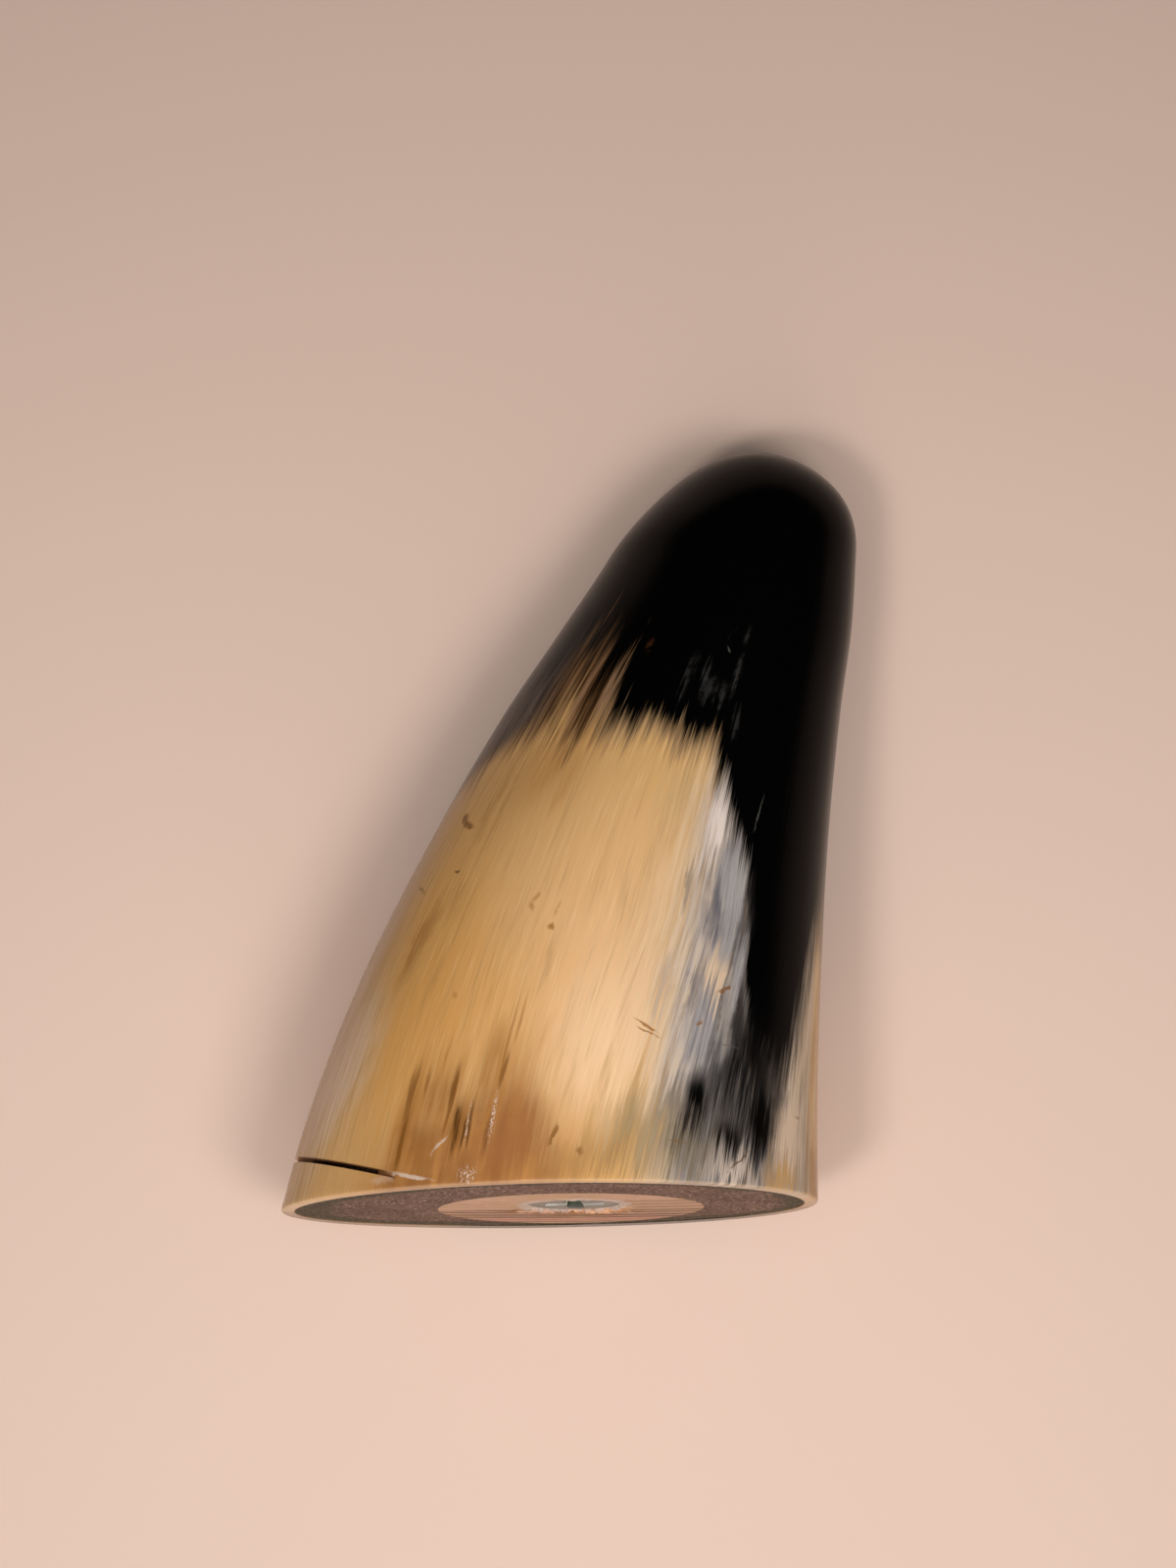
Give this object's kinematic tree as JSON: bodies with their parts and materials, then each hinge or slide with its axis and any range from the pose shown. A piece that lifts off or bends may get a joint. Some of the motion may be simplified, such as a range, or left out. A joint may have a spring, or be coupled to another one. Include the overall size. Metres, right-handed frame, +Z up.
{
  "type": "polished buffalo horn tip",
  "caption": "Polished buffalo horn tip lying on its side, its sawn hollow base closed with brown filler and a pine dowel that holds a countersunk wood screw.",
  "frame": {"origin": "middle of the bottom of the box around the horn as it lies on its side", "axes": "+Z up from the surface it lies on, +Y from the sawn base towards the tip, +X to the side the tip leans to"},
  "size_m": [0.0678, 0.093, 0.0452],
  "materials": {
    "horn": "polished horn, amber and black",
    "filler": "matt speckled wood flour in glue",
    "pine": "sawn end grain",
    "screw_metal": "zinc plated"
  },
  "bodies": {
    "root": {"horn": "horn", "filler": "filler", "wood_core": "pine", "screw": "screw_metal"}
  },
  "joints": []
}
